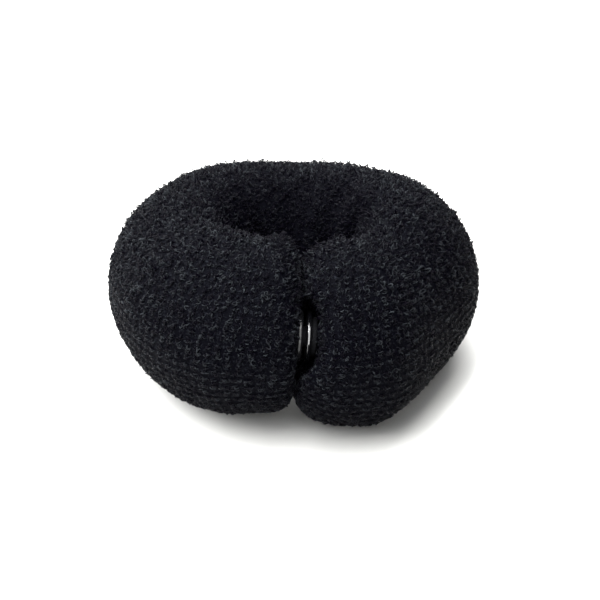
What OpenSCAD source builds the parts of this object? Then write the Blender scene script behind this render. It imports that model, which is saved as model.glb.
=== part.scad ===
// Snap-closed bun roll: a padded tube of black looped knit, bent into a ring, its two ends
// held together at the front by a press stud. Millimetres, standing on z = 0, +Z up, the
// seam at the front (-Y), the middle of the whole at x = 0, y = 0.

/* [Ring] */
// Width across the closed ring
bun_w = 93; // [88:1:102]
// Width of the oval hole through the middle, from side to side
hole_w = 26; // [22:1:30]
// Height of the roll
roll_h = 44; // [40:1:48]
// Height by which the underside is pressed flat where the roll rests
sag = 0.6; // [0.4:0.1:0.9]

/* [Ends] */
// Width of the flat face on which each end lies against the other
end_w = 28; // [25:1:31]
// Length over which each end rounds over from its flat face
end_round = 15; // [12:1:18]
// Squareness of that rounding, where 2 is a quarter round and more is squarer
end_squareness = 2.5; // [2:0.1:3.2]
// Gap between the two ends where they lie against each other
seam_gap = 0.6; // [0.4:0.1:1.2]
// Lean of the seam, with its top to the right
seam_lean = 4; // [0:1:8]
// How far the press stud draws in the left end, which it lies on
left_dent = 0.2; // [0.1:0.1:1]
// Width of the slope round the hollow that the press stud draws into the right end
dent_slope = 4.5; // [3.5:0.5:6]
// Length of the valley that opens from the press stud towards the front
valley = 14; // [10:0.5:16]
// Rise of that valley above level
valley_rise = 34; // [20:2:44]

/* [Cover] */
// Thickness of the knitted cover
cover_t = 2; // [1.5:0.1:2.6]
// Clearance between the cover and the filling
fill_gap = 0.6; // [0.5:0.1:0.8]
// Number of gathers round each press stud half
gathers = 10; // [8:1:11]
// Depth of the gathers
gather_d = 0.7; // [0.2:0.1:0.8]
// Length over which the gathers fade out
gather_fade = 12; // [8:1:16]
// Depth of the deepest fold that runs round the roll
fold_d = 0.8; // [0.2:0.1:0.9]

/* [Press stud] */
// Diameter of the stud and socket plates
snap_d = 12.4; // [10:0.2:14]
// Thickness of the stud's plate
stud_t = 1.3; // [0.9:0.1:2]
// Thickness of the socket's plate
socket_t = 1.2; // [0.9:0.1:2]
// Radius of the rounded rims
rim_r = 0.45; // [0.2:0.05:0.5]
// Gap between the two plates
plate_gap = 0.9; // [0.5:0.1:1.5]
// Diameter of the socket's hub
hub_d = 9.6; // [8:0.2:9.8]
// Thickness of the hub that stands between the socket's plate and the cover
hub_t = 1.4; // [0.8:0.1:2]
// Diameter of the stud's nub
nub_d = 4.8; // [4:0.2:5.4]
// Depth to which the nub enters the socket
nub_in = 1.3; // [0.8:0.1:1.5]
// Diameter of each rivet's head, behind the cover
head_d = 10.4; // [8:0.2:11]
// Diameter of each rivet's post
post_d = 2.4; // [1.8:0.2:2.6]
// Thickness of each rivet's head
head_t = 1; // [0.7:0.1:1.5]
// Distance from the middle of the roll forward to the press stud
snap_out = 4.5; // [2:0.5:5]
// Clearance between the parts of the press stud
snap_fit = 0.15; // [0.1:0.05:0.25]
// Clearance between the press stud and the knit
knit_fit = 0.3; // [0.2:0.1:0.5]

/* [Hidden] */

// Sections round the ring. Turn is the angle from the seam in degrees, first to the left.
// Reach and ridge are the radii of the outermost side and of the top line, as shares of
// bun_w / 2. Height and lift, the height of the underside, are shares of roll_h. Wall is the
// radius of the hole half way up, as a share of hole_w / 2.
//   turn  reach  ridge  height  lift   wall
SECTION_SHARES = [
    [  0,  1.05,  0.485, 1.03,   0.065, 0.35],
    [ 14,  1.035, 0.495, 1.03,   0.095, 0.36],
    [ 28,  1.035, 0.505, 1.04,   0.06,  0.5],
    [ 58,  1,     0.525, 1.045,  0.025, 0.9],
    [ 90,  1.02,  0.535, 1.025,  0,     1],
    [135,  1.065, 0.575, 0.99,   0,     0.85],
    [180,  1.05,  0.57,  0.917,  0,     0.6],
    [225,  1,     0.545, 1,      0,     0.85],
    [270,  0.985, 0.525, 1.045,  0,     1.04],
    [302,  0.92,  0.525, 1.02,   0,     0.94],
    [332,  1.045, 0.52,  1.065,  0,     0.52]
];
TURN = 0;
REACH = 1;
RIDGE = 2;
HEIGHT = 3;
LIFT = 4;
WALL = 5;

// Place of the hole's axis, as shares of bun_w, which puts the middle of the whole at 0, 0
HOLE_SHARES = [0.012, -0.012];

// Folds that run round the roll: place, half width in degrees, depth as a share of fold_d
//   turn  half   depth
FOLD_SHARES = [
    [ 17,   5,    0.7],
    [ 33,   7,    1],
    [ 74,  11,    0.7],
    [128,  12,    0.6],
    [214,  12,    1],
    [262,  11,    0.6],
    [318,   9,    0.8],
    [338,   6,    0.9]
];

// Places of the rings on an end: over the slope round the press stud, then over the rounding
OUTER_SLOPE = [0.25, 0.5, 0.75, 1];
OUTER_STEPS = [0, 0.16, 0.3, 0.42, 0.54, 0.65, 0.76, 0.86, 0.94, 1];
OUTER_RINGS = 34;
INNER_SLOPE = [0.33, 0.67, 1];
INNER_STEPS = [0.1, 0.32, 0.54, 0.76, 0.91, 1];
INNER_RINGS = 18;

sides = 4 * gathers;
half_h = roll_h / 2;
stack = knit_fit + stud_t + plate_gap + socket_t + hub_t + knit_fit;
right_dent = stack - seam_gap - left_dent;
eyelet_r = post_d / 2 + knit_fit;
flat_r = snap_d / 2 + 2 * knit_fit;
flat_share = flat_r / half_h;
face_share = end_w / roll_h;
gather_reach = flat_r + dent_slope;
head_room = head_t + 2 * knit_fit - fill_gap;
head_slope = dent_slope / 2;
hollow_room = 2 * fill_gap;

// Places along the press stud's axis, from the seam to the right
stud_z = knit_fit - seam_gap / 2 - left_dent;
plate_z = stud_z + stud_t + plate_gap;
hub_z = plate_z + socket_t;
left_head_z = stud_z - cover_t - 2 * knit_fit - head_t;
right_head_z = hub_z + hub_t + cover_t + 2 * knit_fit;

// Smooth step from 0 to 1
function smooth(x) = let (s = max(0, min(1, x))) s * s * (3 - 2 * s);

// A column of SECTION_SHARES at row i, counted on past either end of the table
function row(i, col) = SECTION_SHARES[(i + len(SECTION_SHARES)) % len(SECTION_SHARES)][col];
function row_turn(i) = row(i, TURN) + (i < 0 ? -360 : i >= len(SECTION_SHARES) ? 360 : 0);

// The last row at or before a turn
function row_before(t) = max([for (i = [0:len(SECTION_SHARES) - 1]) if (row(i, TURN) <= t) i]);

function wrap(t) = t - 360 * floor(t / 360);

// A column of SECTION_SHARES at any turn, along a smooth curve through the rows
function at(t, col) = curve(wrap(t), col, row_before(wrap(t)));
function curve(t, col, i) =
    let (
        span = row_turn(i + 1) - row_turn(i),
        u = (t - row_turn(i)) / span,
        from = row(i, col),
        to = row(i + 1, col),
        m_from = span * (to - row(i - 1, col)) / (row_turn(i + 1) - row_turn(i - 1)),
        m_to = span * (row(i + 2, col) - from) / (row_turn(i + 2) - row_turn(i))
    )
    from * (2 * u^3 - 3 * u^2 + 1) + m_from * (u^3 - 2 * u^2 + u)
    + to * (3 * u^2 - 2 * u^3) + m_to * (u^3 - u^2);

function ridge(t) = at(t, RIDGE) * bun_w / 2;
function height(t) = at(t, HEIGHT) * roll_h;

// Turn for each millimetre along the roll's middle line at the seam
per_mm = 180 / PI / ridge(0);

// The roll's middle line and the directions along, out of and up each section
function middle(t) =
    [HOLE_SHARES.x * bun_w - ridge(t) * sin(t), HOLE_SHARES.y * bun_w - ridge(t) * cos(t),
        height(t) / 2 + at(t, LIFT) * roll_h - sag];
function lean(t) = seam_lean * max(0, cos(t))^2;
function out(t) = [-sin(t), -cos(t), 0];
function along(t) = [-cos(t), sin(t), 0] * cos(lean(t)) + [0, 0, sin(lean(t))];
function up(t) = cross(along(t), out(t));

// How far a point of an end's face, measured out and up from the roll's middle, is drawn in
function off_valley(p) =
    let (
        d = p - [snap_out, 0],
        way = [cos(valley_rise), sin(valley_rise)],
        run = max(0, min(valley, d * way))
    )
    norm(d - run * way);
function dent(p, depth, fallen, wider) =
    max(0, depth * (1 - smooth((off_valley(p) - wider - flat_r) / dent_slope)) - fallen);
function head_dent(p) =
    head_room * (1 - smooth((norm(p - [snap_out, 0]) - flat_r) / head_slope));

// Relief of the outer skin: gathers round the press stud and folds round the roll
function gather(p, v) =
    let (d = norm(p - [snap_out, 0]))
    gather_d * (1 - cos(v * gathers)) / 2
    * smooth((d - snap_d / 2) / dent_slope) * (1 - smooth((d - gather_reach) / gather_fade));
function fold(t) =
    fold_d * max([for (f = FOLD_SHARES) f[2] * (1 - smooth(abs(wrap(t) - f[0]) / f[1]))]);

// One ring of points, at a turn and a share of its full size. Inset is its depth under the
// outer skin. End is 1 on the left end, -1 on the right end and 0 between them, and there
// w is the distance from the seam and bend the share by which the roll has begun to bend.
function ring(t, share, inset, end, w, bend, fallen, skin, room) =
    let (
        grown = sin(90 * max(0, (share - flat_share) / (1 - flat_share))),
        reach = at(t, REACH) * bun_w / 2 - ridge(t) - inset,
        inner = ridge(t) - at(t, WALL) * hole_w / 2 - inset,
        tall = height(t) / 2 - inset,
        depth = end > 0 ? left_dent : right_dent,
        inward = end * along(0),
        bent = [middle(t), out(t), up(t)] * bend,
        straight = [middle(0) + inward * w, out(0), up(0)] * (1 - bend),
        frame = bent + straight
    )
    [for (i = [0:sides - 1])
        let (
            v = 360 * i / sides,
            round = half_h * [cos(v), sin(v)],
            full = [(cos(v) > 0 ? reach : inner) * cos(v), tall * sin(v)],
            p = share * (grown * full + (1 - grown) * round) + (1 - grown) * [snap_out, 0],
            hollow = dent(p, depth, fallen, room * hollow_room) + room * head_dent(p),
            drawn = hollow + skin * gather(p, v),
            f = p * (1 - skin * share^4 * fold(t) / half_h),
            q = frame[0] + frame[1] * f.x + frame[2] * f.y + inward * drawn
        )
        [q.x, q.y, max(q.z, inset)]];

// A step over an end's rounding, as a share of full size and the share of the length fallen
function rounded(step) =
    [face_share + (1 - face_share) * sin(90 * step)^(2 / end_squareness),
        1 - cos(90 * step)^(2 / end_squareness)];

// Rings of one skin of the roll, from the left end round to the right end
function skin_rings(inset, slope, steps, count, skin, room) =
    let (
        face = seam_gap / 2 + inset,
        length = end_round - inset,
        over = concat(
            [[eyelet_r / half_h, 0], [flat_share, 0]],
            [for (s = slope) [(flat_r + s * dent_slope) / half_h, 0]],
            [for (s = steps) rounded(s)]
        ),
        last = len(over) - 1,
        full_turn = (face + length) * per_mm,
        step = (360 - 2 * full_turn) / (count + 1)
    )
    concat(
        [for (k = [0:last]) end_ring(over[k], face, length, inset, 1, skin, room)],
        [for (k = [1:count]) ring(full_turn + k * step, 1, inset, 0, 0, 1, 0, skin, room)],
        [for (k = [last:-1:0]) end_ring(over[k], face, length, inset, -1, skin, room)]
    );
function end_ring(step, face, length, inset, end, skin, room) =
    let (
        fallen = length * step[1],
        w = face + fallen,
        bend = 1 - (1 - step[1])^3
    )
    ring(wrap(end * w * per_mm), step[0], inset, end, w, bend, fallen, skin, room);

// Faces between ring a and ring b of a list of rings
function band(a, b) =
    [for (i = [0:sides - 1])
        let (j = (i + 1) % sides)
        each [[a * sides + i, b * sides + j, a * sides + j],
            [a * sides + i, b * sides + i, b * sides + j]]];

// A skin closed on itself, as a tube with a wall is
module closed_skin(rings) {
    n = len(rings);
    polyhedron(
        points = [for (r = rings) each r],
        faces = [for (k = [0:n - 1]) each band(k, (k + 1) % n)],
        convexity = 8
    );
}

// A solid roll through its rings, closed by a fan at each end
module solid_roll(rings) {
    n = len(rings);
    first = n * sides;
    centres = [for (r = [rings[0], rings[n - 1]]) sum_points(r) / sides];
    fan = [for (i = [0:sides - 1])
        let (j = (i + 1) % sides)
        each [[first, i, j], [first + 1, (n - 1) * sides + j, (n - 1) * sides + i]]];
    polyhedron(
        points = concat([for (r = rings) each r], centres),
        faces = concat([for (k = [0:n - 2]) each band(k, k + 1)], fan),
        convexity = 8
    );
}
function sum_points(r) = [for (i = [1:len(r)]) 1] * r;

// The knitted tube, drawn in round an eyelet at each end
module cover()
    color("#17191e")
        closed_skin(concat(
            skin_rings(0, OUTER_SLOPE, OUTER_STEPS, OUTER_RINGS, 1, 0),
            reversed(skin_rings(cover_t, INNER_SLOPE, INNER_STEPS, INNER_RINGS, 0, 0))
        ));
function reversed(list) = [for (i = [len(list) - 1:-1:0]) list[i]];

// The soft roll inside the cover, hollowed at its ends for the rivets' heads
module filling()
    color("#2c2d31")
        solid_roll(skin_rings(cover_t + fill_gap, INNER_SLOPE, INNER_STEPS, INNER_RINGS, 0, 1));

// A place on the press stud's axis, where +Z runs to the right and +Y out to the front
module on_seam(z) {
    o = middle(0) + out(0) * snap_out;
    x = up(0);
    y = out(0);
    w = -along(0);
    multmatrix([
        [x.x, y.x, w.x, o.x],
        [x.y, y.y, w.y, o.y],
        [x.z, y.z, w.z, o.z],
        [0, 0, 0, 1]
    ])
        translate([0, 0, z]) children();
}

// A round plate with a rounded rim and a bore for the post
module plate(d, t) {
    bore_r = post_d / 2 + snap_fit;
    edge = min(rim_r, 0.4 * t);
    rotate_extrude($fn = 96) {
        translate([bore_r, 0]) square([d / 2 - edge - bore_r, t]);
        translate([bore_r, edge]) square([d / 2 - bore_r, t - 2 * edge]);
        for (y = [edge, t - edge])
            translate([d / 2 - edge, y]) circle(r = edge, $fn = 32);
    }
}

// The male half: a plate with a nub that snaps into the socket
module snap_stud()
    color("#0c0d10")
        on_seam(stud_z) {
            plate(snap_d, stud_t);
            translate([0, 0, stud_t / 2])
                plate(nub_d, stud_t / 2 + plate_gap + nub_in);
        }

// The female half: a plate with a recess for the nub, on a hub
module snap_socket()
    color("#0c0d10")
        on_seam(plate_z)
            difference() {
                union() {
                    plate(snap_d, socket_t);
                    translate([0, 0, socket_t / 2]) plate(hub_d, socket_t / 2 + hub_t);
                }
                translate([0, 0, -plate_gap])
                    cylinder(
                        d = nub_d + 2 * snap_fit,
                        h = plate_gap + nub_in + snap_fit,
                        $fn = 64
                    );
            }

// A rivet: a round head behind the cover and a post through it, with +Z towards the post
module rivet(post) {
    cylinder(d = head_d, h = head_t, $fn = 96);
    cylinder(d = post_d, h = head_t + post, $fn = 48);
}

module stud_rivet()
    color("#202226")
        on_seam(left_head_z)
            rivet(cover_t + 2 * knit_fit + stud_t + plate_gap / 2);

module socket_rivet()
    color("#202226")
        on_seam(right_head_z + head_t)
            mirror([0, 0, 1])
                rivet(cover_t + 2 * knit_fit + hub_t / 2);

cover();
filling();
snap_stud();
snap_socket();
stud_rivet();
socket_rivet();
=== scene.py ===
# A snap-closed bun roll: a soft roll in a tube of black looped knit, bent into a ring, its two
# ends held together by a black press stud. Metres, standing on z = 0, the seam facing -Y.
import math

import bmesh
import bpy
import numpy as np
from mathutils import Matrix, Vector, noise
from mathutils.bvhtree import BVHTree
from mathutils.kdtree import KDTree


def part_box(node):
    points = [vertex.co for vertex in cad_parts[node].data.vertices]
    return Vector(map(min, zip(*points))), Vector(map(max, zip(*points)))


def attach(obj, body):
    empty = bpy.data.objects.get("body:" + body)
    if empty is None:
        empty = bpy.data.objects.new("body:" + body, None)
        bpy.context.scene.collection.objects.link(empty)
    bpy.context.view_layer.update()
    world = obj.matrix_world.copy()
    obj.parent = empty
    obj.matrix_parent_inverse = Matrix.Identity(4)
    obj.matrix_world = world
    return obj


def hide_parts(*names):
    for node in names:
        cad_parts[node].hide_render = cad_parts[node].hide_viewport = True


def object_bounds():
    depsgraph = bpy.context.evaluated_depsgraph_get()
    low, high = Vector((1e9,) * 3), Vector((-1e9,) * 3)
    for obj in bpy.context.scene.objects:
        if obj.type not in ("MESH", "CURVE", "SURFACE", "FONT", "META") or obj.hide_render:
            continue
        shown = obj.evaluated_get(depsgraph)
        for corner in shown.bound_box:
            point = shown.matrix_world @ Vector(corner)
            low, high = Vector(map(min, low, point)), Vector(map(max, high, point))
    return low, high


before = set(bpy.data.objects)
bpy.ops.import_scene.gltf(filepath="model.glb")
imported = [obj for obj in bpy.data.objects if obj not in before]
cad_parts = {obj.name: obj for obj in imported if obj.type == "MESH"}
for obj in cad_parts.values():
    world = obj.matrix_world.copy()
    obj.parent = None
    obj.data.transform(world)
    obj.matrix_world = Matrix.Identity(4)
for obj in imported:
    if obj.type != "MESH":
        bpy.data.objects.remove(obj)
cad_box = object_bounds()
MM = 0.001


# The filling: a soft roll of dark pressed fibre inside the cover, which holds the ring's shape
# and hides it. Pressed fibre is matt and slightly lumpy.
FIBRE_LUMP = 4 * MM  # from one lump to the next
FIBRE_DEPTH = 0.3 * MM


def colour(code):
    """An sRGB hex value as linear red, green, blue and alpha."""
    parts = [int(code[i : i + 2], 16) / 255 for i in (1, 3, 5)]
    return (
        *((p / 12.92 if p <= 0.04045 else ((p + 0.055) / 1.055) ** 2.4) for p in parts),
        1,
    )


def add(tree, kind, inputs=None, **settings):
    """Adds a node with its settings, and sets or links its inputs."""
    made = tree.nodes.new(kind)
    for name, value in settings.items():
        setattr(made, name, value)
    for name, value in (inputs or {}).items():
        if isinstance(value, bpy.types.NodeSocket):
            tree.links.new(value, made.inputs[name])
        else:
            made.inputs[name].default_value = value
    return made


def finish(name):
    """A new material with an empty tree, and that tree."""
    material = bpy.data.materials.new(name)
    material.use_nodes = True
    material.node_tree.nodes.clear()
    return material, material.node_tree


def coat(obj, material):
    """Puts one material on every face of a piece."""
    obj.data.materials.clear()
    obj.data.materials.append(material)


fibre, tree = finish("pressed_fibre")
place = add(tree, "ShaderNodeTexCoord")
lumps = add(
    tree, "ShaderNodeTexNoise", {"Vector": place.outputs["Object"], "Scale": 1 / FIBRE_LUMP}
)
tint = add(
    tree,
    "ShaderNodeMix",
    {"Factor": lumps.outputs["Fac"], "A": colour("#1c1c1f"), "B": colour("#2e2e32")},
    data_type="RGBA",
)
dents = add(tree, "ShaderNodeBump", {"Height": lumps.outputs["Fac"], "Distance": FIBRE_DEPTH})
surface = add(
    tree,
    "ShaderNodeBsdfPrincipled",
    {"Base Color": tint.outputs["Result"], "Roughness": 0.95, "Normal": dents.outputs["Normal"]},
)
add(tree, "ShaderNodeOutputMaterial", {"Surface": surface.outputs["BSDF"]})
coat(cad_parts["filling"], fibre)


# The cover: a tube of stretchy black knit, closed over the filling and drawn in under the press
# stud at each end. This is its ground, the plain knit that the loops stand on, and its points
# are the CAD cover's, read as a grid of rings round the tube.
SAME_POINT = 1e-6
EYELET_RING = 4 * MM  # rings narrower than this lie at the eyelets, where the two skins meet


def grid_of(obj):
    """The cover's points as rings round the tube, and for each ring its points in order."""
    mesh = obj.data
    co = np.zeros(len(mesh.vertices) * 3, np.float32)
    mesh.vertices.foreach_get("co", co)
    co = co.reshape(-1, 3).astype(float)
    _, first, same = np.unique(
        np.round(co / SAME_POINT).astype(int), axis=0, return_index=True, return_inverse=True
    )
    points = co[first]
    same = same.ravel()
    faces = [tuple(int(same[v]) for v in f.vertices) for f in mesh.polygons]
    beside = {}
    for i, f in enumerate(faces):
        for a, b in zip(f, f[1:] + f[:1]):
            beside.setdefault(frozenset((a, b)), []).append(i)
    # Each triangle has one side round the tube, one along it and one diagonal. Across any side,
    # the two sides that meet at a corner swap their kinds, so one triangle settles all.
    start = max(range(len(faces)), key=lambda i: points[list(faces[i])][:, 1].mean())
    sides = [frozenset(p) for p in zip(faces[start], faces[start][1:] + faces[start][:1])]
    length = {s: np.linalg.norm(np.subtract(*points[list(s)])) for s in sides}
    turned = {s: abs(np.subtract(*points[list(s)])[0]) / length[s] for s in sides}
    kind = {max(sides, key=length.get): "diagonal", min(sides, key=turned.get): "round"}
    kind[next(s for s in sides if s not in kind)] = "along"
    kinds = {"round", "along", "diagonal"}
    todo, seen = [start], {start}
    while todo:
        here = todo.pop()
        for a, b in zip(faces[here], faces[here][1:] + faces[here][:1]):
            side = frozenset((a, b))
            for other in beside[side]:
                if other in seen:
                    continue
                c = next(v for v in faces[here] if v not in side)
                d = next(v for v in faces[other] if v not in side)
                for v in (a, b):
                    kind[frozenset((v, d))] = next(
                        iter(kinds - {kind[side], kind[frozenset((v, c))]})
                    )
                seen.add(other)
                todo.append(other)
    near = {"round": {}, "along": {}}
    for side, what in kind.items():
        if what != "diagonal":
            a, b = side
            near[what].setdefault(a, []).append(b)
            near[what].setdefault(b, []).append(a)
    ring = [faces[start][0]]
    ring.append(near["round"][ring[0]][0])
    while len(ring) < len(near["round"]) and ring[-1] != ring[0]:
        ring.append(next(v for v in near["round"][ring[-1]] if v != ring[-2]))
    ring.pop()
    rings = [ring]
    following = [near["along"][ring[0]][0]]
    for v in ring[1:]:
        following.append(next(w for w in near["along"][v] if w in near["round"][following[-1]]))
    while following[0] != ring[0]:
        rings.append(following)
        before = rings[-2]
        following = [
            next(w for w in near["along"][v] if w != before[i])
            for i, v in enumerate(rings[-1])
        ]
    return points, np.array(rings)


points, rings = grid_of(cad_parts["cover"])
small = np.array([np.ptp(points[r], axis=0).max() for r in rings]) < EYELET_RING
joins = [k for k in range(len(rings)) if small[k] and small[(k + 1) % len(rings)]]
rings = np.roll(rings, -(joins[0] + 1), axis=0)
split = (joins[1] - joins[0]) % len(rings)
outer, inner = sorted((rings[:split], rings[split:]), key=len, reverse=True)
sides = rings.shape[1]


def plain(obj):
    """Turns what an object's modifiers make into its own plain mesh."""
    shape = bpy.data.meshes.new_from_object(
        obj.evaluated_get(bpy.context.evaluated_depsgraph_get())
    )
    obj.modifiers.clear()
    obj.data = shape
    return obj


def rise(values, start, stop):
    """0 up to start, 1 from stop, and a smooth rise between them."""
    s = np.clip((values - start) / (stop - start), 0, 1)
    return s * s * (3 - 2 * s)


def placed(name, data):
    """A new object in the scene."""
    made = bpy.data.objects.new(name, data)
    bpy.context.scene.collection.objects.link(made)
    return made


# Gathers stand side by side on the hole's wall, where the knit has to go round a small circle.
HOLE_AXIS = np.array((1.1, -1.1, 24.0)) * MM
HOLE_WALL, HOLE_RIM = 15 * MM, 24 * MM  # from that axis
FOLD = 7.5 * MM  # from one gather to the next
FOLD_DEPTH = 0.8 * MM
FOLD_DRIFT, DRIFT_LENGTH = 1.2, 8 * MM  # how unevenly they stand, and over what length
FOLD_AT, FOLD_SEEN = 4.5 * MM, 3 * MM  # one stands here on the back wall, right of its middle

skin = points[outer]
from_middle = skin - HOLE_AXIS
off_axis = np.hypot(from_middle[:, :, 0], from_middle[:, :, 1])
in_hole = rise(-off_axis, -HOLE_RIM, -HOLE_WALL)
hole_line = skin[:, int(off_axis.mean(axis=0).argmin())]
steps = np.linalg.norm(np.diff(hole_line, axis=0), axis=1)
passed = np.concatenate([[0], np.cumsum(steps)])
back = (hole_line[:, 1] > 0) & (np.abs(hole_line[:, 0] - FOLD_AT) < FOLD_SEEN)
passed -= passed[back].mean()
drift = np.array([FOLD_DRIFT * noise.noise((p / DRIFT_LENGTH, 0, 3)) for p in passed])
gathers = FOLD_DEPTH * np.cos(2 * math.pi * passed / FOLD + drift)
inward = -from_middle * (1, 1, 0) / np.maximum(off_axis, 1 * MM)[:, :, None]
skin = skin + inward * (gathers[:, None] * in_hole)[:, :, None]

# The knit is a little too large for a roll bent into a ring, and the filling presses it out: a
# cloth simulation of the outer skin gives its creases, most in the hole and few outside.
SOLVER_SCALE = 10  # the solver works best with cloth about a metre wide
SLACK = 0.06  # how much larger the knit is than the roll
SEWN_RINGS = 3  # sewn down round each eyelet
RESTS_BELOW = 1.5 * MM  # the knit that lies on the table stays where it is
MOMENTS = 20  # frames, in which the cloth comes to rest
CREASE = 9  # rings; waves longer than this are the roll's own shape and are left as they are
CREASED, CREASED_IN_HOLE = 0.35, 1.0  # mm, the most outside, and what the hole adds
SNAP_CLEAR, SNAP_FAR = 12 * MM, 26 * MM  # no creases near the press stud, all of them far off

skin_faces = [
    (
        a * sides + i,
        a * sides + (i + 1) % sides,
        (a + 1) * sides + (i + 1) % sides,
        (a + 1) * sides + i,
    )
    for a in range(len(outer) - 1)
    for i in range(sides)
]
mesh = bpy.data.meshes.new("outer_skin")
mesh.from_pydata((skin.reshape(-1, 3) * SOLVER_SCALE).tolist(), [], skin_faces)
sheet = placed("outer_skin", mesh)
sewn = np.zeros(skin.shape[:2], bool)
sewn[:SEWN_RINGS] = sewn[-SEWN_RINGS:] = True
sewn |= skin[:, :, 2] < RESTS_BELOW
sheet.vertex_groups.new(name="sewn").add(np.flatnonzero(sewn).tolist(), 1.0, "REPLACE")
cloth = sheet.modifiers.new("cloth", "CLOTH")
for name, value in (
    ("vertex_group_mass", "sewn"),
    ("quality", 5),
    ("mass", 0.3),
    ("bending_stiffness", 0.5),
    ("shrink_min", -SLACK),
    ("use_pressure", True),
    ("uniform_pressure_force", 4),
):
    setattr(cloth.settings, name, value)
cloth.settings.effector_weights.gravity = 0
for moment in range(1, MOMENTS + 1):
    bpy.context.scene.frame_set(moment)
plain(sheet)
pressed_out = np.zeros(skin.size)
sheet.data.vertices.foreach_get("co", pressed_out)
bpy.data.objects.remove(sheet)
moved = pressed_out.reshape(skin.shape) / SOLVER_SCALE - skin
window = np.ones(CREASE) / CREASE
for i in range(sides):
    for n in range(3):
        longer = np.pad(moved[:, i, n], CREASE // 2, mode="edge")
        moved[:, i, n] -= np.convolve(longer, window, mode="valid")
eyelets = np.array([skin[0].mean(axis=0), skin[-1].mean(axis=0)])
from_snap = np.linalg.norm(skin - eyelets.mean(axis=0), axis=2)
most = (CREASED + CREASED_IN_HOLE * in_hole) * MM * rise(from_snap, SNAP_CLEAR, SNAP_FAR)
how_far = np.linalg.norm(moved, axis=2)
held_to = most * np.tanh(how_far / np.maximum(most, 1e-9)) / np.maximum(how_far, 1e-9)
points[outer] = skin + moved * held_to[:, :, None]

# The ground's mesh has both skins in one closed tube, and its map counts the stitches: along the
# tube in loops of a row, and round it in rows.
COURSE = 1.1 * MM  # from one loop to the next in a row
ROWS_TO_A_SIDE = 2

cells = np.concatenate([outer, inner])
n_rings = len(cells)
faces = [
    (
        k * sides + i,
        k * sides + (i + 1) % sides,
        (k + 1) % n_rings * sides + (i + 1) % sides,
        (k + 1) % n_rings * sides + i,
    )
    for k in range(n_rings)
    for i in range(sides)
]
along = points[cells].mean(axis=1)
along = np.concatenate([[0], np.cumsum(np.linalg.norm(np.diff(along, axis=0), axis=1))])
mesh = bpy.data.meshes.new("cover_ground")
mesh.from_pydata(points[cells.ravel()].tolist(), [], faces)
knit_map = mesh.uv_layers.new(name="knit")
for n, (k, i) in enumerate((k, i) for k in range(n_rings) for i in range(sides)):
    near, far = along[k], along[k] + (along[(k + 1) % n_rings] - along[k]) * (k < n_rings - 1)
    for corner, (u, v) in enumerate(((near, i), (near, i + 1), (far, i + 1), (far, i))):
        knit_map.data[4 * n + corner].uv = (u / COURSE, ROWS_TO_A_SIDE * v)
work = bmesh.new()
work.from_mesh(mesh)
if work.calc_volume(signed=True) < 0:
    bmesh.ops.reverse_faces(work, faces=work.faces)
work.to_mesh(mesh)
work.free()
cover = placed("cover_ground", mesh)
smooth = cover.modifiers.new("smooth", "SUBSURF")
smooth.levels = smooth.render_levels = 1
plain(cover)

# The roll is stuffed a little unevenly: low lumps lift the outer skin, and none reach the floor.
STUFFING = ((0.16, 11 * MM), (0.09, 4 * MM))  # height in mm, and from one lump to the next
PUFFED = 0.05 * MM
SKIN_APART = 0.6 * MM  # points nearer than this to the outer skin belong to it
NO_LUMPS, ALL_LUMPS = 0.5 * MM, 4 * MM  # heights above the table

n_points = len(cover.data.vertices)
co = np.zeros(n_points * 3)
facing = np.zeros(n_points * 3)
cover.data.vertices.foreach_get("co", co)
cover.data.vertices.foreach_get("normal", facing)
co, facing = co.reshape(-1, 3), facing.reshape(-1, 3)
lump = np.array(
    [sum(height * noise.noise(Vector(p) / length) for height, length in STUFFING) for p in co]
)
near_skin = BVHTree.FromPolygons(points[outer.ravel()].tolist(), skin_faces)
on_skin = np.array([near_skin.find_nearest(Vector(p))[3] for p in co]) < SKIN_APART
off_table = rise(co[:, 2], NO_LUMPS, ALL_LUMPS)
co += facing * (on_skin * off_table * (lump * MM + PUFFED))[:, None]

# Painted shade on the pile and its ground: their colour is darkened in the hole, most of all in
# the grooves between the gathers, low down on the sides, and on the right, away from the light.
HOLE_SHADE_FROM, HOLE_SHADE_TO = 22.5 * MM, 16 * MM  # from the hole's axis
WIDER_AT_BACK, AT_BACK = 5 * MM, 20 * MM  # the painted shade in the hole reaches wider behind the axis
# shares of the colour that the painted shade takes away
HOLE_PAINTED_SHADE, GROOVE_PAINTED_SHADE, LOW_PAINTED_SHADE, RIGHT_PAINTED_SHADE = 0.6, 0.45, 0.5, 0.3
FULL_ABOVE = 26 * MM  # the height from which no shade is painted
RIGHT_FROM, RIGHT_TO = 26 * MM, 42 * MM

wider = WIDER_AT_BACK * rise(from_middle[:, :, 1], 0, AT_BACK)
in_deep = rise(wider - off_axis, -HOLE_SHADE_FROM, -HOLE_SHADE_TO)
between = 0.5 - 0.5 * gathers[:, None] / FOLD_DEPTH
painted_shade_factors = (1 - HOLE_PAINTED_SHADE * in_deep) * (1 - GROOVE_PAINTED_SHADE * in_deep * between)
painted_shade_factors *= 1 - LOW_PAINTED_SHADE + LOW_PAINTED_SHADE * rise(skin[:, :, 2], 0, FULL_ABOVE)
painted_shade_factors *= 1 - RIGHT_PAINTED_SHADE * rise(skin[:, :, 0], RIGHT_FROM, RIGHT_TO)
painted_shade_factors = painted_shade_factors.ravel()
knots = KDTree(len(painted_shade_factors))
for n, p in enumerate(skin.reshape(-1, 3)):
    knots.insert(p, n)
knots.balance()


def painted_shade_near(spot):
    """The painted shade factor of the pile at a place, from the three nearest points of the skin.
    """
    return np.mean([painted_shade_factors[n] for _, n, _ in knots.find_n(spot, 3)])


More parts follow.
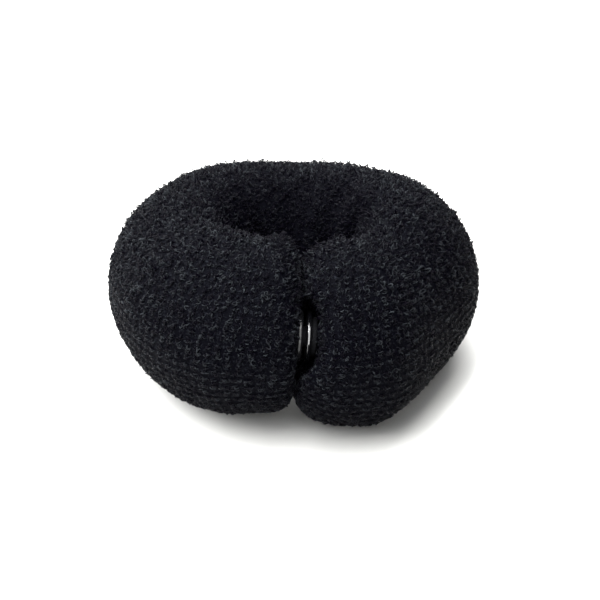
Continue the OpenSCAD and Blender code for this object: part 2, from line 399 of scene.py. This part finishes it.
cover.data.vertices.foreach_set("co", co.ravel())
cover.data.update()
for f in cover.data.polygons:
    f.use_smooth = True
# The ground's points carry the painted shade factor, which its material reads.
painted_shade_factor = cover.data.attributes.new("painted_shade_factor", "FLOAT", "POINT")
painted_shade_factor.data.foreach_set("value", np.array([painted_shade_near(p) for p in co]))

# Black nylon, knitted on a machine. Between the loops lies a mat of finer ones: threads that
# wander, drawn together into stitches that stand in columns round the tube. The real threads
# are finer than the render can show, so these are drawn a quarter of a millimetre wide. The knit
# gives the eye a dull black, with a faint cold light on the threads.
WAVER = 1.6 * MM  # the stitches waver over this length
WAVER_BY = (0.9, 0.5, 0)  # in stitches, along the tube and round it
STITCH = 2.1  # its length, in loops of a row
THREAD_BEND = 0.8 * MM  # from one bend of the threads to the next
THREAD_EDGE = 0.07  # how far from the noise's middle a thread ends
THREAD_HIGH = 0.4 * MM

knit, tree = finish("black_nylon_knit")
place = add(tree, "ShaderNodeTexCoord")
waver = add(
    tree,
    "ShaderNodeTexNoise",
    {"Vector": place.outputs["Object"], "Scale": 1 / WAVER, "Detail": 1.0},
)
shifted = add(
    tree,
    "ShaderNodeVectorMath",
    {0: waver.outputs["Color"], 1: WAVER_BY, 2: place.outputs["UV"]},
    operation="MULTIPLY_ADD",
)
stitches = add(
    tree,
    "ShaderNodeTexBrick",
    {
        "Vector": shifted.outputs[0],
        "Color1": (1, 1, 1, 1),
        "Color2": (0.55, 0.55, 0.55, 1),
        "Mortar": (0.05, 0.05, 0.05, 1),
        "Scale": 1.0,
        "Mortar Size": 0.22,
        "Mortar Smooth": 0.9,
        "Brick Width": STITCH,
        "Row Height": 1.0,
    },
    offset=0.0,
)
wander = add(
    tree,
    "ShaderNodeTexNoise",
    {"Vector": place.outputs["Object"], "Scale": 1 / THREAD_BEND, "Detail": 1.0},
)
off_line = add(
    tree, "ShaderNodeMath", {0: wander.outputs["Fac"], 1: 0.5}, operation="SUBTRACT"
)
either_side = add(tree, "ShaderNodeMath", {0: off_line.outputs[0]}, operation="ABSOLUTE")
thread = add(
    tree,
    "ShaderNodeMapRange",
    {
        "Value": either_side.outputs[0],
        "From Min": 0.0,
        "From Max": THREAD_EDGE,
        "To Min": 1.0,
        "To Max": 0.0,
    },
    interpolation_type="SMOOTHSTEP",
)
lit = add(
    tree,
    "ShaderNodeMath",
    {0: thread.outputs["Result"], 1: stitches.outputs["Color"]},
    operation="MULTIPLY",
)
dents = add(
    tree, "ShaderNodeBump", {"Height": lit.outputs[0], "Distance": THREAD_HIGH, "Strength": 0.9}
)
# Painted shade: the threads' colour is scaled down by the painted shade factor.
painted_shade_input = add(tree, "ShaderNodeAttribute", attribute_name="painted_shade_factor")
seen = add(
    tree,
    "ShaderNodeMath",
    {0: lit.outputs[0], 1: painted_shade_input.outputs["Fac"]},
    operation="MULTIPLY",
)
tint = add(
    tree,
    "ShaderNodeMix",
    {"Factor": seen.outputs[0], "A": colour("#010104"), "B": colour("#191b20")},
    data_type="RGBA",
)
surface = add(
    tree,
    "ShaderNodeBsdfPrincipled",
    {
        "Base Color": tint.outputs["Result"],
        "Roughness": 0.7,
        "Specular IOR Level": 0.02,
        "Normal": dents.outputs["Normal"],
    },
)
add(tree, "ShaderNodeOutputMaterial", {"Surface": surface.outputs["BSDF"]})
coat(cover, knit)
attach(cover, "root")
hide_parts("cover")


# The pile: small loops of crimped nylon yarn, knitted into the ground in rows along the tube. On
# top they lie over in all directions, on the sides they keep to their rows, and below they are
# pressed flat. They are drawn about twice as coarse as real ones, so that they show.
YARN = 0.12 * MM  # radius of the yarn
LOOP_W = 0.85 * MM
LOOP_H = 0.7 * MM
ROWS = 62  # rows of loops round the tube, about 2.1 mm apart
COLUMNS = 116  # tufts in a row, one below the other in all rows
LOOPS = 9  # loops in a tuft
TUFT_OFF = 0.12 * MM  # how far a tuft stands from its place
LOOP_OFF = 0.17  # how far a loop stands from its tuft's middle, as a share of the tuft
ROW_FULL, TUFT_FULL = 2.3 * MM, 2.35 * MM  # rows and tufts closer than this lose some loops
CLEAR = 0.5 * MM  # no loops between the press stud's plates and this far round them
CLEAR_SIDEWAYS = 6 * MM
FREE_LOW, FREE_MORE = 0.12, 0.38  # how freely the loops lie low down, and what the top adds
FREE_FROM, FREE_TO = 22 * MM, 40 * MM  # the heights between which that changes
ASTRAY, ASTRAY_FREE = 0.08, 0.55  # how far a loop is off its row, in rows, and if it lies free

ground = BVHTree.FromPolygons(co.tolist(), [tuple(f.vertices) for f in cover.data.polygons])
rng = np.random.default_rng(7)
stud_low, stud_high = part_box("snap_stud")
socket_low, socket_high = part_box("snap_socket")
snap = np.array((stud_low + stud_high + socket_low + socket_high)) / 4
snap_r = (stud_high.y - stud_low.y) / 2


def line_at(side):
    """The cover's points along the tube at any place round it, counted in its sides."""
    first, share = int(side) % sides, side - int(side)
    return points[outer[:, first]] * (1 - share) + points[outer[:, (first + 1) % sides]] * share


seats, outward, row_way, loose, seat_painted_shade = [], [], [], [], []
for row in range(ROWS):
    line, next_line = line_at(row * sides / ROWS), line_at((row + 1) * sides / ROWS)
    reach = np.concatenate([[0], np.cumsum(np.linalg.norm(np.diff(line, axis=0), axis=1))])
    tufts = np.linspace(0, reach[-1], COLUMNS) + rng.normal(0, TUFT_OFF, COLUMNS)
    tuft = reach[-1] / COLUMNS
    at = np.repeat(tufts, LOOPS) + rng.normal(0, LOOP_OFF * tuft, COLUMNS * LOOPS)
    at = np.clip(at, 0, reach[-1])
    spots, ahead, beside = (
        np.stack([np.interp(where, reach, path[:, n]) for n in range(3)], axis=1)
        for where, path in ((at, line), (at + LOOP_W, line), (at, next_line))
    )
    for spot, way, other in zip(spots, ahead - spots, beside):
        apart = np.linalg.norm(other - spot)
        off_snap = np.linalg.norm((spot - snap)[1:])
        if rng.random() > apart / ROW_FULL * tuft / TUFT_FULL:
            continue
        if off_snap < snap_r + CLEAR and abs(spot[0] - snap[0]) < CLEAR_SIDEWAYS:
            continue
        free = float(FREE_LOW + FREE_MORE * rise(spot[2], FREE_FROM, FREE_TO))
        spot = spot + (other - spot) * rng.normal(0, ASTRAY + ASTRAY_FREE * free)
        hit, normal, _, _ = ground.find_nearest(Vector(spot))
        seats.append(hit)
        outward.append(normal)
        row_way.append(way / max(np.linalg.norm(way), 1e-9))
        loose.append(free)
        # Each seat takes the painted shade factor of the ground under it.
        seat_painted_shade.append(painted_shade_near(hit))
seats, outward = np.array(seats), np.array(outward)
row_way, loose, seat_painted_shade = np.array(row_way), np.array(loose), np.array(seat_painted_shade)

# One tree plants the loops on their seats. Random values have their least and most in the inputs
# 2 and 3, or 4 and 5 for whole numbers.
LOOP_SHAPES = (  # start, two handles and end: an arch, two that twist and one that hooks
    ((-0.5, 0, -0.15), (-0.35, 0.1, 1.3), (0.35, -0.1, 1.3), (0.5, 0, -0.15)),
    ((-0.45, -0.2, -0.15), (-0.8, 0.3, 1.2), (0.9, 0.5, 1.0), (0.3, 0.25, -0.15)),
    ((-0.45, 0.25, -0.15), (-0.2, -0.6, 1.1), (0.8, -0.4, 1.4), (0.4, 0.1, -0.15)),
    ((-0.4, 0.1, -0.15), (0.7, 0.2, 1.5), (-0.9, -0.2, 1.4), (0.35, -0.15, -0.15)),
)
LEAN, LEAN_FREE = 0.35, 1.8  # radians to either side, and what a free loop adds
YAW, YAW_FREE = -0.25, 4.0
LOW, STANDS, PULLED, FEW_PULLED = 0.55, 0.9, 2.7, 4.0  # heights as shares of LOOP_H
BROAD, NARROWER_FREE = 1.5, -1.0  # widths along the row as shares of LOOP_W
SMALLEST, LARGEST = 0.7, 1.2
FEW_BRIGHT = 3.0
ABOVE_TABLE = 0.02 * MM

pile = bpy.data.node_groups.new("pile_of_loops", "GeometryNodeTree")
for name, kind in (
    ("Seats", "NodeSocketGeometry"),
    ("Yarn", "NodeSocketFloat"),
    ("Width", "NodeSocketFloat"),
    ("Height", "NodeSocketFloat"),
    ("Finish", "NodeSocketMaterial"),
):
    pile.interface.new_socket(name, in_out="INPUT", socket_type=kind)
pile.interface.new_socket("Loops", in_out="OUTPUT", socket_type="NodeSocketGeometry")
inputs = add(pile, "NodeGroupInput")
yarn_share = add(
    pile,
    "ShaderNodeMath",
    {0: inputs.outputs["Yarn"], 1: inputs.outputs["Width"]},
    operation="DIVIDE",
)
edge = add(
    pile,
    "GeometryNodeCurvePrimitiveCircle",
    {"Resolution": 3, "Radius": yarn_share.outputs[0]},
    mode="RADIUS",
)
loops = add(pile, "GeometryNodeJoinGeometry")
for start, rising, falling, end in LOOP_SHAPES:
    path = add(
        pile,
        "GeometryNodeCurvePrimitiveBezierSegment",
        {
            "Resolution": 4,
            "Start": start,
            "Start Handle": rising,
            "End Handle": falling,
            "End": end,
        },
    )
    tube = add(
        pile,
        "GeometryNodeCurveToMesh",
        {"Curve": path.outputs["Curve"], "Profile Curve": edge.outputs["Curve"]},
    )
    loop = add(pile, "GeometryNodeGeometryToInstance", {"Geometry": tube.outputs["Mesh"]})
    pile.links.new(loop.outputs[0], loops.inputs[0])
way, out, free, painted_shade_factor = (
    add(pile, "GeometryNodeInputNamedAttribute", {"Name": name}, data_type=kind).outputs[0]
    for name, kind in (
        ("way", "FLOAT_VECTOR"),
        ("out", "FLOAT_VECTOR"),
        ("free", "FLOAT"),
        ("painted_shade_factor", "FLOAT"),
    )
)
upright = add(pile, "FunctionNodeAlignRotationToVector", {"Vector": out}, axis="Z")
turned = add(
    pile,
    "FunctionNodeAlignRotationToVector",
    {"Rotation": upright.outputs[0], "Vector": way},
    axis="X",
    pivot_axis="Z",
)
for axis, seed, least, more in (("Z", 4, YAW, YAW_FREE), ("X", 3, LEAN, LEAN_FREE)):
    either_way = add(
        pile, "FunctionNodeRandomValue", {2: -1.0, 3: 1.0, "Seed": seed}, data_type="FLOAT"
    )
    at_most = add(pile, "ShaderNodeMath", {0: free, 1: more, 2: least}, operation="MULTIPLY_ADD")
    angle = add(
        pile,
        "ShaderNodeMath",
        {0: either_way.outputs[1], 1: at_most.outputs[0]},
        operation="MULTIPLY",
    )
    about_axis = add(pile, "ShaderNodeCombineXYZ", {axis: angle.outputs[0]})
    turned = add(
        pile,
        "FunctionNodeRotateRotation",
        {"Rotation": turned.outputs[0], "Rotate By": about_axis.outputs[0]},
        rotation_space="LOCAL",
    )
# A few loops are pulled: they stand well above the rest where the pile is free.
any_height = add(
    pile, "FunctionNodeRandomValue", {2: 0.0, 3: 1.0, "Seed": 9}, data_type="FLOAT"
)
few_tall = add(
    pile, "ShaderNodeMath", {0: any_height.outputs[1], 1: FEW_PULLED}, operation="POWER"
)
taller = add(
    pile,
    "ShaderNodeMath",
    {0: few_tall.outputs[0], 1: PULLED, 2: STANDS},
    operation="MULTIPLY_ADD",
)
stand = add(
    pile, "ShaderNodeMath", {0: free, 1: taller.outputs[0], 2: LOW}, operation="MULTIPLY_ADD"
)
tall = add(
    pile,
    "ShaderNodeMath",
    {0: inputs.outputs["Height"], 1: stand.outputs[0]},
    operation="MULTIPLY",
)
stretch = add(
    pile, "ShaderNodeMath", {0: free, 1: NARROWER_FREE, 2: BROAD}, operation="MULTIPLY_ADD"
)
broad = add(
    pile,
    "ShaderNodeMath",
    {0: inputs.outputs["Width"], 1: stretch.outputs[0]},
    operation="MULTIPLY",
)
loop_size = add(
    pile,
    "ShaderNodeCombineXYZ",
    {"X": broad.outputs[0], "Y": inputs.outputs["Width"], "Z": tall.outputs[0]},
)
share = add(
    pile, "FunctionNodeRandomValue", {2: SMALLEST, 3: LARGEST, "Seed": 5}, data_type="FLOAT"
)
varied = add(
    pile,
    "ShaderNodeVectorMath",
    {0: loop_size.outputs[0], "Scale": share.outputs[1]},
    operation="SCALE",
)
which = add(
    pile,
    "FunctionNodeRandomValue",
    {4: 0, 5: len(LOOP_SHAPES) - 1, "Seed": 6},
    data_type="INT",
)
planted = add(
    pile,
    "GeometryNodeInstanceOnPoints",
    {
        "Points": inputs.outputs["Seats"],
        "Instance": loops.outputs[0],
        "Pick Instance": True,
        "Instance Index": which.outputs[2],
        "Rotation": turned.outputs[0],
        "Scale": varied.outputs[0],
    },
)
shade = add(pile, "FunctionNodeRandomValue", {2: 0.0, 3: 1.0, "Seed": 8}, data_type="FLOAT")
few_bright = add(
    pile, "ShaderNodeMath", {0: shade.outputs[1], 1: FEW_BRIGHT}, operation="POWER"
)
# Each loop's tone is a random shade times the painted shade factor of its seat.
bright = add(
    pile, "ShaderNodeMath", {0: few_bright.outputs[0], 1: painted_shade_factor}, operation="MULTIPLY"
)
toned = add(
    pile,
    "GeometryNodeStoreNamedAttribute",
    {"Geometry": planted.outputs[0], "Name": "tone", "Value": bright.outputs[0]},
    data_type="FLOAT",
    domain="INSTANCE",
)
real = add(pile, "GeometryNodeRealizeInstances", {"Geometry": toned.outputs[0]})
here = add(pile, "GeometryNodeInputPosition")
above_table = add(
    pile,
    "ShaderNodeVectorMath",
    {0: here.outputs[0], 1: (-1.0, -1.0, ABOVE_TABLE)},
    operation="MAXIMUM",
)
flattened = add(
    pile,
    "GeometryNodeSetPosition",
    {"Geometry": real.outputs[0], "Position": above_table.outputs[0]},
)
covered = add(
    pile,
    "GeometryNodeSetMaterial",
    {"Geometry": flattened.outputs[0], "Material": inputs.outputs["Finish"]},
)
rounded = add(pile, "GeometryNodeSetShadeSmooth", {"Geometry": covered.outputs[0]})
add(pile, "NodeGroupOutput", {"Loops": rounded.outputs[0]})

# Nylon filament, crimped by heat: each loop has a soft gloss and a random shade of its own, most
# of them nearly black and a few grey, darkened by painted shade in the hole, low down and on the
# right.
yarn, tree = finish("crimped_nylon_yarn")
tone = add(tree, "ShaderNodeAttribute", attribute_name="tone")
tint = add(
    tree,
    "ShaderNodeMix",
    {"Factor": tone.outputs["Fac"], "A": colour("#020106"), "B": colour("#25282b")},
    data_type="RGBA",
)
surface = add(
    tree,
    "ShaderNodeBsdfPrincipled",
    {
        "Base Color": tint.outputs["Result"],
        "Roughness": 0.34,
        "IOR": 1.53,
        "Specular IOR Level": 0.04,
    },
)
add(tree, "ShaderNodeOutputMaterial", {"Surface": surface.outputs["BSDF"]})

ring_middle = np.array(cad_box[0]) / 2 + np.array(cad_box[1]) / 2
to_middle = ring_middle - seats
turn = np.degrees(np.arctan2(to_middle[:, 0], to_middle[:, 1])) % 360
names = ("pile_left_front", "pile_left_side", "pile_back", "pile_right_side", "pile_right_front")
for name, chosen in zip(names, np.array_split(np.argsort(turn), len(names))):
    mesh = bpy.data.meshes.new(name)
    mesh.from_pydata(seats[chosen].tolist(), [], [])
    for label, values, kind in (
        ("out", outward, "FLOAT_VECTOR"),
        ("way", row_way, "FLOAT_VECTOR"),
        ("free", loose, "FLOAT"),
        ("painted_shade_factor", seat_painted_shade, "FLOAT"),
    ):
        column = mesh.attributes.new(label, kind, "POINT")
        column.data.foreach_set(
            "vector" if kind == "FLOAT_VECTOR" else "value",
            np.ascontiguousarray(values[chosen], np.float32).ravel(),
        )
    piece = placed(name, mesh)
    planting = piece.modifiers.new("pile", "NODES")
    planting.node_group = pile
    given = {"Yarn": YARN, "Width": LOOP_W, "Height": LOOP_H, "Finish": yarn}
    for item in pile.interface.items_tree:
        if item.in_out == "INPUT" and item.name in given:
            planting[item.identifier] = given[item.name]
    plain(piece)
    coat(piece, yarn)
    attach(piece, "root")


# The press stud: two round halves of moulded black acetal, each riveted through the knit. The
# plates' polished rims show as two narrow bright lines, the left one worn and dimmer. Nub and hub
# are as dull as they come from the mould.
FLOW = 2.5 * MM  # from one flow mark to the next
FLOW_DEPTH = 0.04 * MM
SCUFF = 0.35 * MM
SCUFF_FROM, SCUFF_TO = 0.35, 0.7  # the noise's values between which a scuff shows
SCUFFED = 0.12  # how much rougher a scuff is
HUB_EDGE, PLATE_POLISHED = 4.9 * MM, 5.3 * MM  # from the press stud's axis
AS_MOULDED = 0.85  # roughness of the nub and the hub


def moulded(name, code, roughness, polish_left):
    """Black moulded plastic with faint flow marks, fine scuffs and what polish is left on it."""
    material, tree = finish(name)
    place = add(tree, "ShaderNodeTexCoord")
    flow = add(
        tree,
        "ShaderNodeTexNoise",
        {"Vector": place.outputs["Object"], "Scale": 1 / FLOW, "Detail": 3.0},
    )
    scuffs = add(
        tree,
        "ShaderNodeTexNoise",
        {"Vector": place.outputs["Object"], "Scale": 1 / SCUFF, "Detail": 2.0},
    )
    tint = add(
        tree,
        "ShaderNodeMix",
        {"Factor": flow.outputs["Fac"], "A": colour(code), "B": colour("#17181c")},
        data_type="RGBA",
    )
    polish = add(
        tree,
        "ShaderNodeMapRange",
        {
            "Value": scuffs.outputs["Fac"],
            "From Min": SCUFF_FROM,
            "From Max": SCUFF_TO,
            "To Min": roughness,
            "To Max": roughness + SCUFFED,
        },
    )
    dents = add(
        tree,
        "ShaderNodeBump",
        {"Height": flow.outputs["Fac"], "Distance": FLOW_DEPTH, "Strength": 0.4},
    )
    in_plane = add(
        tree,
        "ShaderNodeVectorMath",
        {0: place.outputs["Object"], 1: (0, 1, 1)},
        operation="MULTIPLY",
    )
    from_axis = add(
        tree,
        "ShaderNodeVectorMath",
        {0: in_plane.outputs[0], 1: (0, snap[1], snap[2])},
        operation="DISTANCE",
    )
    polished = add(
        tree,
        "ShaderNodeMapRange",
        {
            "Value": from_axis.outputs["Value"],
            "From Min": HUB_EDGE,
            "From Max": PLATE_POLISHED,
            "To Max": polish_left,
        },
    )
    gloss = add(
        tree,
        "ShaderNodeMapRange",
        {
            "Value": polished.outputs["Result"],
            "To Min": AS_MOULDED,
            "To Max": polish.outputs["Result"],
        },
    )
    surface = add(
        tree,
        "ShaderNodeBsdfPrincipled",
        {
            "Base Color": tint.outputs["Result"],
            "Roughness": gloss.outputs["Result"],
            "IOR": 1.49,
            "Specular IOR Level": 0.15,
            "Coat Weight": polished.outputs["Result"],
            "Coat Roughness": 0.1,
            "Coat IOR": 2.0,
            "Normal": dents.outputs["Normal"],
        },
    )
    add(tree, "ShaderNodeOutputMaterial", {"Surface": surface.outputs["BSDF"]})
    return material


coat(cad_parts["snap_socket"], moulded("glossy_black_acetal", "#08080a", 0.12, 1.0))
coat(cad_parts["snap_stud"], moulded("worn_black_acetal", "#08080a", 0.12, 0.25))
satin = moulded("satin_black_acetal", "#0d0d10", 0.4, 0.4)
for node in ("stud_rivet", "socket_rivet"):
    coat(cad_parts[node], satin)


# The table top: a plain board, painted white. Rolled paint leaves it matt, with a tooth too faint
# to draw the eye from the bun roll.
TOOTH = 1.5 * MM
TOOTH_DEPTH = 0.05 * MM
REACH = 3  # metres from its middle to each edge

board, tree = finish("white_board")
place = add(tree, "ShaderNodeTexCoord")
tooth = add(
    tree, "ShaderNodeTexNoise", {"Vector": place.outputs["Object"], "Scale": 1 / TOOTH}
)
dents = add(
    tree,
    "ShaderNodeBump",
    {"Height": tooth.outputs["Fac"], "Distance": TOOTH_DEPTH, "Strength": 0.3},
)
surface = add(
    tree,
    "ShaderNodeBsdfPrincipled",
    {"Base Color": colour("#c8c8c6"), "Roughness": 0.9, "Normal": dents.outputs["Normal"]},
)
add(tree, "ShaderNodeOutputMaterial", {"Surface": surface.outputs["BSDF"]})
top = bpy.data.meshes.new("table_top")
top.from_pydata(
    [(-REACH, -REACH, 0), (REACH, -REACH, 0), (REACH, REACH, 0), (-REACH, REACH, 0)],
    [],
    [(0, 1, 2, 3)],
)
table_top = placed("table_top", top)
coat(table_top, board)


# The light and the camera: one large soft light overhead, a little to the left, a narrow one
# that draws the top of the rims, a weak one from the left, and a tall card in front.
LOOK_AT = Vector((1.116 * MM, -1.116 * MM, 20 * MM))
DISTANCE = 0.52
ELEVATION = math.radians(32)


def lamp(name, at, width, length, power):
    """A soft light that faces the bun roll."""
    light = bpy.data.lights.new(name, "AREA")
    light.shape = "RECTANGLE"
    light.size, light.size_y = width, length
    light.energy = power
    made = placed(name, light)
    made.location = at
    made.rotation_euler = (LOOK_AT - made.location).to_track_quat("-Z", "Y").to_euler()


lamp("top_light", (-0.42, 0.2, 0.86), 2.2, 2.2, 119)
lamp("left_light", (-0.8, 0, 0.35), 0.5, 0.5, 0.5)
lamp("strip_light", (-0.1, -0.25, 0.78), 0.1, 1.2, 9)
lamp("front_card", (0.1, -0.95, 0.45), 0.4, 1.4, 8)
room = bpy.data.worlds.new("dim_room")
room.use_nodes = True
room.node_tree.nodes.clear()
glow = add(room.node_tree, "ShaderNodeBackground", {"Color": (1, 1, 1, 1), "Strength": 0.035})
add(room.node_tree, "ShaderNodeOutputWorld", {"Surface": glow.outputs[0]})
bpy.context.scene.world = room
bpy.context.scene.view_settings.view_transform = "Standard"

lens = bpy.data.cameras.new("camera")
lens.lens = 123.1
lens.shift_x, lens.shift_y = 0.0045, -0.0108
camera = placed("camera", lens)
camera.location = LOOK_AT + DISTANCE * Vector((0, -math.cos(ELEVATION), math.sin(ELEVATION)))
camera.rotation_euler = (math.pi / 2 - ELEVATION, 0, 0)
bpy.context.scene.camera = camera
